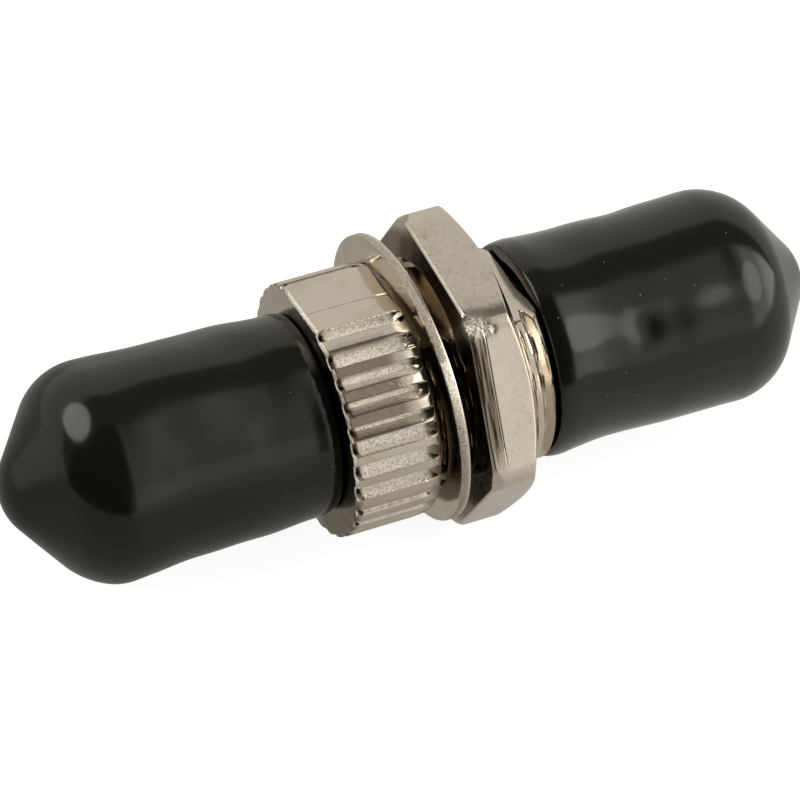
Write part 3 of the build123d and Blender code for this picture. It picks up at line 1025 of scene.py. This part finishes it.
@dataclass
class PanelNut:
    """The hexagon nut, turned from bar: corners cut back at the front, a chamfer all round at the rear.

    A fine seam runs round its sides, and in front of it the sides draw in a little.
    """

    bore_r: float = 4.9225
    countersink: float = 0.3
    columns: int = 480
    front_cut: float = 0.42        # cut from a sharp corner at the front face, on the radius
    front_cut_length: float = 0.75
    front_edge: float = 0.11
    rear_inset: float = 0.1
    rear_chamfer: float = math.radians(28)
    corner_power: int = 30         # how sharp the six corners are
    rounds: tuple[float, ...] = (0.03, 0.08, 0.08, 0.01, 0.0, 0.01, 0.10, 0.05, 0.03, 0.0, 0.0)
    seam_setback: float = 0.67
    seam_depth: float = 0.03
    seam_width: float = 0.08
    draw_in: float = 0.015
    gouge: float = 0.009           # depth of the marks that a wrench left in front of the seam
    gouge_size: float = 0.085      # their width
    gouge_count: int = 40
    gouged: Ramp = (math.radians(24), math.radians(88))
    gouge_fade: float = 0.3        # radians
    band: Ramp = (0.02, 0.08)      # mm from the front face, where they start
    band_end: float = 0.1          # mm before the seam
    # how much darker the gouged band is
    band_darkening: float = 0.8
    nicks: tuple[Dent, ...] = (
        Dent(x=1.2, turn=math.radians(31), size=0.45, depth=0.05),
        Dent(x=1.0, turn=math.radians(29), size=0.20, depth=0.08),
        Dent(x=1.45, turn=math.radians(32), size=0.22, depth=0.05),
        Dent(x=1.9, turn=math.radians(33), size=0.12, depth=0.03),
    )
    nick_wander: float = 0.35      # share by which their depth wanders
    nick_grain: float = 0.11
    nick_count: int = 130
    scuff_depth: float = 0.08      # of a nick that is scuffed all over
    scuff_most: float = 0.45
    gap_shade: float = 0.95       # painted shade on the front face, round the neck, in the gap by the washer
    gap_depth: float = 0.06
    gap_unshaded: Ramp = (6.2, 7.0)   # radii where it ends

    def build(self, plating: Material) -> Piece:
        """Builds the nut.

        The radius of the hexagon is (Σ (cos(turn - side) / flat)^power)^(-1/power) over the sides that
        face the column, which rounds its corners. A cone at each end meets it further back where the
        hexagon is wider, so the edge of the rear cone dips at the middle of each flat.

        Args:
            plating: its finish.

        Returns:
            The piece.
        """
        low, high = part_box("hex_nut")
        front, rear, flat = low.x / MM, high.x / MM, (high.z - low.z) / 2 / MM
        centre = ((low.y + high.y) / 2 / MM, (low.z + high.z) / 2 / MM)
        turn = np.linspace(0, TURN, self.columns, endpoint=False)[None, :]
        sides = np.arange(6)[:, None] * TURN / 6
        facing = np.maximum(np.cos(turn - sides), 0) / flat
        side = (facing ** self.corner_power).sum(0, keepdims=True) ** (-1 / self.corner_power)
        front_r = flat / math.cos(TURN / 12) - self.front_cut
        front_run = self.front_cut_length / self.front_cut
        front_face = np.minimum(side - self.draw_in - self.front_edge, front_r)
        front_back = np.maximum((side - self.draw_in - front_r) * front_run, self.front_edge)
        front_side = side - self.draw_in * (1 - front_back / self.seam_setback)
        rear_r = flat - self.rear_inset
        rear_back = (side - rear_r) * math.tan(self.rear_chamfer)
        none = np.zeros_like(side)
        gouged = smooth_step(turn, self.gouged[0], self.gouged[0] + self.gouge_fade)
        gouged = gouged * smooth_fall(turn, self.gouged[1] - self.gouge_fade, self.gouged[1])
        entry = self.bore_r + self.countersink
        seam = front + self.seam_setback
        places = [
            (front + none, entry + none), (front + none, front_face), (front + front_back, front_side),
            (seam - self.seam_width / 2 + none, side), (seam + none, side - self.seam_depth * gouged),
            (seam + self.seam_width / 2 + none, side), (rear - rear_back, side),
            (rear + none, rear_r + none), (rear + none, entry + none),
            (rear - self.countersink + none, self.bore_r + none),
            (front + self.countersink + none, self.bore_r + none),
        ]
        corners = np.stack([np.concatenate([x, r]).T for x, r in places])
        path = rounded_path(corners, np.array(self.rounds), steps=5, closed=True)
        path = filled_in(path, gap=0.06, closed=True)
        x, r = path[..., 0], path[..., 1]
        sunk = sum(nick.at(x, turn, r) for nick in self.nicks)
        wander = smooth_noise((x - front) / self.nick_grain, turn / TURN, self.nick_count, seed=53)
        r = r - sunk * (1 + self.nick_wander * wander)
        on_band = smooth_step(x, *(front + start for start in self.band))
        on_band = on_band * smooth_fall(x, seam - self.band_end, seam)
        marks = smooth_noise((x - front) / self.gouge_size, turn / TURN, self.gouge_count, seed=51)
        r = r - self.gouge * on_band * gouged * (1 + marks)
        # Painted shade on the front face round the neck, and the gouged band made darker.
        in_gap = self.gap_shade * smooth_fall(x, front, front + self.gap_depth)
        in_gap = np.maximum(in_gap * smooth_fall(r, *self.gap_unshaded), self.band_darkening * on_band * gouged)
        scuffed = np.minimum(sunk / self.scuff_depth, self.scuff_most)
        skin = Skin.round_axis(x, r, turn, closed=True, centre=centre, grain=scuffed, painted_shade=in_gap)
        piece = make_piece("plated_nut", [skin], sharp=40)
        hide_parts("hex_nut")
        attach(piece, "nut")
        dress(piece, plating)
        return piece


@dataclass
class DustCap:
    """One dust cap: a soft lip, a skirt with a slight waist, a rounded shoulder and a blunt cone."""

    name: str
    node: str
    body: str
    mouth_r: float
    waist_r: float
    lip_drop: float                # by which the lip draws in, on the radius
    towards: int                   # +1 if its tip points to +X, -1 if to -X
    seed: int
    dents: tuple[Dent, ...] = ()
    columns: int = 240
    lip_length: float = 0.75
    waist_setback: float = 2.6
    waist_round: float = 12.0
    shoulder_r: float = 4.84
    shoulder_round: float = 3.03
    nose_length: float = 4.61
    cone: float = math.radians(36.9)
    apex_round: float = 2.6
    bore_r: float = 4.21
    wall: float = 0.7
    inner_rounds: tuple[float, ...] = (0.0, 0.4, 1.6, 0.0)
    unevenness: float = 0.075      # of the skin, in slow swells
    swell: float = 3.1             # length of a swell
    swell_count: int = 6           # swells round the cap
    ripple: float = 1.4            # length of the smaller ripples on them
    ripple_count: int = 14
    ripple_share: float = 0.35     # of the swells' height
    even_mouth: Ramp = (0.1, 1.2)  # mm from the mouth, where the swells start
    even_tip: Ramp = (0.6, 3.0)    # mm from the tip

    def outside(self, length: float, sharp_tip: float) -> Array:
        """The outline from the lip to the tip, with the mouth at x = 0.

        The lip is a quarter of an ellipse. The tip's arc is half of the one that would join the cone
        to its own reflection.

        Args:
            length: of the cap.
            sharp_tip: place at which the cone would end in a point.

        Returns:
            (points, 2) places and radii.
        """
        lean = np.linspace(0, math.pi / 2, 16)
        lip = np.stack([
            self.lip_length * (1 - np.cos(lean)), self.mouth_r - self.lip_drop * (1 - np.sin(lean)),
        ], -1)[:, None]
        slope = math.tan(self.cone)
        taper = (self.shoulder_r - self.waist_r) / (length - self.nose_length - self.waist_setback)
        axis_r = self.waist_r - taper * self.waist_setback
        corner_x = (sharp_tip - slope * axis_r) / (1 + slope * taper)
        corner_r = axis_r + taper * corner_x
        corners = np.array([
            (self.lip_length, self.mouth_r), (self.waist_setback, self.waist_r), (corner_x, corner_r),
            (sharp_tip, 0), (corner_x, -corner_r),
        ])[:, None]
        rounds = np.array([0, self.waist_round, self.shoulder_round, self.apex_round, 0])
        path = np.concatenate([lip, rounded_path(corners, rounds, steps=33, closed=False)])
        path = filled_in(path, gap=0.1, closed=False)[:, 0]
        return np.concatenate([path[:np.argmax(path[:, 1] < 1e-6)], [(length, 0)]])

    def build(self, vinyl: Material) -> Piece:
        """Builds the cap: the outside from mouth to tip, then the inside back to the mouth.

        A slow random height is added to the outside, and fades out at the mouth and the tip.

        Args:
            vinyl: its finish.

        Returns:
            The piece.
        """
        low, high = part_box(self.node)
        length = (high.x - low.x) / MM
        slope, lift = math.tan(self.cone), 1 / math.cos(self.cone)
        sharp_tip = length + self.apex_round * (lift - 1)
        outer = self.outside(length, sharp_tip)
        inner_tip = sharp_tip - self.wall * lift
        corners = np.array([
            (length - self.wall, 0),
            (length - self.wall, (inner_tip - length + self.wall) / slope),
            (inner_tip - slope * self.bore_r, self.bore_r),
            (0, self.bore_r),
        ])[:, None]
        inner = rounded_path(corners, np.array(self.inner_rounds), steps=9, closed=False)
        inner = filled_in(inner, gap=0.4, closed=False)[:, 0]
        path = np.concatenate([[(0, self.bore_r)], outer, inner])
        turn = np.linspace(0, TURN, self.columns, endpoint=False)[None, :]
        x, r = path[:, :1], path[:, 1:]
        is_outer = (np.arange(len(path)) <= len(outer))[:, None]
        fade = smooth_step(x, *self.even_mouth) * smooth_step(length - x, *self.even_tip) * is_outer
        ripples = smooth_noise(x / self.ripple, turn / TURN, self.ripple_count, self.seed + 1)
        height = smooth_noise(x / self.swell, turn / TURN, self.swell_count, self.seed)
        height = height + self.ripple_share * ripples
        mouth = (low.x if self.towards > 0 else high.x) / MM
        place = mouth + self.towards * x
        sunk = sum(dent.at(place, turn, r) for dent in self.dents)
        skin = Skin.round_axis(place, r + fade * (self.unevenness * height - sunk), turn, closed=False)
        piece = make_piece(self.name, [skin], sharp=50)
        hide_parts(self.node)
        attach(piece, self.body)
        dress(piece, vinyl)
        return piece


@dataclass
class FerruleGuide:
    """The split sleeve that lines up the ferrules and the insert that keeps it in, both as modelled."""

    sleeve_node: str = "alignment_sleeve"
    insert_node: str = "sleeve_retainer"

    def dress(self) -> list[Piece]:
        """Gives both nodes their finishes.

        Returns:
            Both pieces.
        """
        sleeve, insert = (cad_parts[node] for node in (self.sleeve_node, self.insert_node))
        for slot in sleeve.material_slots:
            slot.material = PolishedZirconia().material()
        for slot in insert.material_slots:
            slot.material = TurnedBrass().material()
        return [sleeve, insert]


@dataclass
class Lamp:
    """A round softbox: where it hangs, as a direction from the object, and how bright its cloth looks."""

    name: str
    direction: tuple[float, float, float]
    half_angle: float              # degrees, as seen from the object
    radiance: float
    colour: Colour
    distance: float = 420.0

    def hang(self) -> None:
        """Makes the lamp and aims it at the origin."""
        radius = self.distance * math.tan(math.radians(self.half_angle))
        light = bpy.data.lights.new(self.name, "AREA")
        light.shape = "DISK"
        light.size = 2 * radius * MM
        light.color = self.colour[:3]
        light.energy = self.radiance * math.pi ** 2 * (radius * MM) ** 2
        lamp = bpy.data.objects.new(self.name, light)
        way = Vector(self.direction).normalized()
        lamp.location = way * self.distance * MM
        lamp.rotation_euler = way.to_track_quat("Z", "Y").to_euler()
        lamp.visible_camera = False
        bpy.context.scene.collection.objects.link(lamp)


@dataclass
class Studio:
    """A pale table in a pale bay: a light wall behind, two softboxes, and a dark room behind the lens.

    Directions are told apart by their angle in degrees about the fibre axis, from straight up
    towards the viewer, and by how far they lean to +X. Two numbers are the ends of a ramp.
    """

    camera_place: tuple[float, float, float] = (-61.1, -126.5, 144.3)
    right: tuple[float, float, float] = (0.9164, -0.3987, 0.0355)
    look: tuple[float, float, float] = (0.3003, 0.6263, -0.7194)
    focal_length: float = 209.1
    sensor: float = 36.0
    lens_range: tuple[float, float] = (10.0, 5000.0)  # mm, nearest and furthest that it shows
    table_reach: float = 900.0
    cover: str = "#8C8C8B"         # of the table
    mirrored_cover: str = "#4A4A49"
    board_white: float = 0.89      # glow of the table for the lens
    board_glow: tuple[float, float] = (0.25, 0.55)  # in a reflection, at the left and at the right
    board_half: float = 12.0       # mm from the middle to where that is reached
    warm: Colour = (1.0, 0.965, 0.88, 1.0)
    wall: float = 0.68             # brightness of the wall behind
    wall_top: Ramp = (-41, -36)
    ceiling: float = 0.17
    ceiling_end: Ramp = (-8, 2)
    dark: float = 0.03             # of the room behind the lens
    panel: float = 0.63            # of the cloth at the right, where it starts
    panel_start: Ramp = (0.21, 0.29)
    panel_rise: float = 0.85       # what it gains further to the right
    panel_further: Ramp = (0.36, 0.52)
    panel_end: float = 1.2         # and once more at the far right
    panel_furthest: Ramp = (0.80, 0.95)
    panel_top: Ramp = (-9, 5)
    card: float = 0.20             # brightness of the card that stands before the part
    card_top: Ramp = (64, 73)
    card_start: Ramp = (0.05, 0.20)
    fill: float = 0.95             # even light on all that is matt

    def place_camera(self) -> None:
        """Makes the camera and puts it where the photograph was taken from."""
        lens = bpy.data.cameras.new("camera")
        lens.lens, lens.sensor_width = self.focal_length, self.sensor
        lens.clip_start, lens.clip_end = (end * MM for end in self.lens_range)
        camera = bpy.data.objects.new("camera", lens)
        back = -Vector(self.look).normalized()
        right = Vector(self.right).normalized()
        up = back.cross(right).normalized()
        right = up.cross(back)
        turned = Matrix((right, up, back)).transposed().to_4x4()
        camera.matrix_world = Matrix.Translation(Vector(self.camera_place) * MM) @ turned
        bpy.context.scene.collection.objects.link(camera)
        bpy.context.scene.camera = camera

    def lay_table(self) -> None:
        """Makes the table under the nut: white for the lens, with a faint shadow left in it.

        In a reflection it glows a little, more to the right than to the left.
        """
        height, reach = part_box("hex_nut")[0].z, self.table_reach * MM
        corners = ((-reach, -reach), (reach, -reach), (reach, reach), (-reach, reach))
        mesh = bpy.data.meshes.new("table_top")
        mesh.from_pydata([(*corner, height) for corner in corners], [], [(0, 1, 2, 3)])
        table = bpy.data.objects.new("table_top", mesh)
        bpy.context.scene.collection.objects.link(table)
        made, tree, shader, place = new_material("matt_white_board")
        rays, seen = lens_rays(tree)
        cover = add_node(
            tree, "ShaderNodeMix",
            {0: rays["Is Glossy Ray"], 6: linear(self.cover), 7: linear(self.mirrored_cover)},
            data_type="RGBA",
        ).outputs[2]
        parts = add_node(tree, "ShaderNodeSeparateXYZ", {0: place}).outputs
        half = self.board_half * MM
        glow = add_node(
            tree, "ShaderNodeMapRange",
            {"Value": parts["X"], "From Min": -half, "From Max": half, "To Min": self.board_glow[0],
             "To Max": self.board_glow[1]},
        ).outputs["Result"]
        reflected = add_node(
            tree, "ShaderNodeMath", {0: rays["Is Glossy Ray"], 1: glow}, operation="MULTIPLY"
        ).outputs[0]
        strength = add_node(
            tree, "ShaderNodeMath", {0: seen, 1: self.board_white, 2: reflected}, operation="MULTIPLY_ADD"
        ).outputs[0]
        colour = add_node(
            tree, "ShaderNodeMix", {0: seen, 6: self.warm, 7: WHITE}, data_type="RGBA"
        ).outputs[2]
        feed(shader, {"Roughness": 0.9, "Specular IOR Level": 0.0, "Base Color": cover})
        feed(shader, {"Emission Strength": strength, "Emission Color": colour})
        dress(table, made)

    def light_room(self) -> None:
        """Makes the world: white for the lens, and for everything else the bay as it stood.

        The wall, the gap over it, the dark room, the cloth at the right and the card show in
        reflections only: what is matt gets one even fill.
        """
        world = bpy.data.worlds.new("bay")
        bpy.context.scene.world = world
        world.use_nodes = True
        tree = world.node_tree
        way = add_node(tree, "ShaderNodeTexCoord").outputs["Generated"]
        parts = add_node(tree, "ShaderNodeSeparateXYZ", {0: way}).outputs
        towards = add_node(tree, "ShaderNodeMath", {0: parts["Y"], 1: -1.0}, operation="MULTIPLY").outputs[0]
        angle = add_node(
            tree, "ShaderNodeMath", {0: towards, 1: parts["Z"]}, operation="ARCTAN2"
        ).outputs[0]
        by_angle = (
            (self.wall_top, self.wall, self.ceiling), (self.ceiling_end, 0.0, self.dark - self.ceiling),
            (self.panel_top, 0.0, 1.0), (self.card_top, 0.0, self.card),
        )
        by_lean = (
            (self.panel_start, 0.0, self.panel), (self.panel_further, 0.0, self.panel_rise),
            (self.panel_furthest, 0.0, self.panel_end), (self.card_start, 0.0, 1.0),
        )
        ramps = [(angle, np.radians(ends), *values) for ends, *values in by_angle]
        ramps += [(parts["X"], *ramp) for ramp in by_lean]
        behind, over, raised, lower, aside, further, furthest, across = (
            add_node(
                tree, "ShaderNodeMapRange",
                {"Value": source, "From Min": ends[0], "From Max": ends[1], "To Min": low, "To Max": high},
                interpolation_type="SMOOTHSTEP",
            ).outputs["Result"]
            for source, ends, low, high in ramps
        )
        bay = add_node(tree, "ShaderNodeMath", {0: behind, 1: over}, operation="ADD").outputs[0]
        cloth = add_node(tree, "ShaderNodeMath", {0: aside, 1: further}, operation="ADD").outputs[0]
        cloth = add_node(tree, "ShaderNodeMath", {0: cloth, 1: furthest}, operation="ADD").outputs[0]
        for brightness, share in ((cloth, raised), (lower, across)):
            bay = add_node(
                tree, "ShaderNodeMath", {0: brightness, 1: share, 2: bay}, operation="MULTIPLY_ADD"
            ).outputs[0]
        rays, seen = lens_rays(tree)
        soft = add_node(
            tree, "ShaderNodeMix", {0: rays["Is Diffuse Ray"], 2: bay, 3: self.fill}, data_type="FLOAT"
        ).outputs[0]
        strength = add_node(tree, "ShaderNodeMix", {0: seen, 2: soft, 3: 1.0}, data_type="FLOAT").outputs[0]
        colour = add_node(
            tree, "ShaderNodeMix", {0: seen, 6: self.warm, 7: WHITE}, data_type="RGBA"
        ).outputs[2]
        feed(tree.nodes["Background"], {"Color": colour, "Strength": strength})

    def build(self) -> None:
        """Sets up the whole studio."""
        self.place_camera()
        self.lay_table()
        self.light_room()
        Lamp(
            "left_softbox", direction=(-0.50, 0.35, 0.79), half_angle=19, radiance=2.8, colour=self.warm
        ).hang()
        Lamp(
            "right_softbox", direction=(0.64, -0.51, 0.575), half_angle=17, radiance=1.6, colour=self.warm,
            distance=165,
        ).hang()
        bpy.context.scene.view_settings.view_transform = "Standard"


def report(piece: Piece) -> None:
    """Logs a piece's name and how many faces it has."""
    log.info("%s: %d faces", piece.name, len(piece.data.polygons))


def main() -> None:
    """Builds the adapter, piece by piece, and the studio round it."""
    logging.basicConfig(level=logging.INFO, format="%(message)s")
    zinc = NickelPlate("nickel_on_cast_zinc", NickelBase.CAST_ZINC)
    steel = NickelPlate("nickel_on_pressed_steel", NickelBase.PRESSED_STEEL)
    brass = NickelPlate("nickel_on_turned_brass", NickelBase.TURNED_BRASS)
    vinyl = DippedVinyl().material()
    front = DustCap(
        "front_vinyl_cap", "front_dust_cap", "front_cap",
        mouth_r=4.50, waist_r=4.55, lip_drop=0.20, towards=-1, seed=31,
    )
    rear = DustCap(
        "rear_vinyl_cap", "rear_dust_cap", "rear_cap",
        mouth_r=4.88, waist_r=4.69, lip_drop=0.15, towards=1, seed=41,
        dents=(Dent(x=9.3, turn=math.radians(50.7), size=0.8, depth=0.11),),
    )
    report(AdapterHousing().build(zinc.material()))
    report(PanelWasher().build(steel.material()))
    report(PanelNut().build(brass.material()))
    for cap in (front, rear):
        report(cap.build(vinyl))
    for piece in FerruleGuide().dress():
        report(piece)
    Studio().build()


if __name__ == "__main__":
    main()
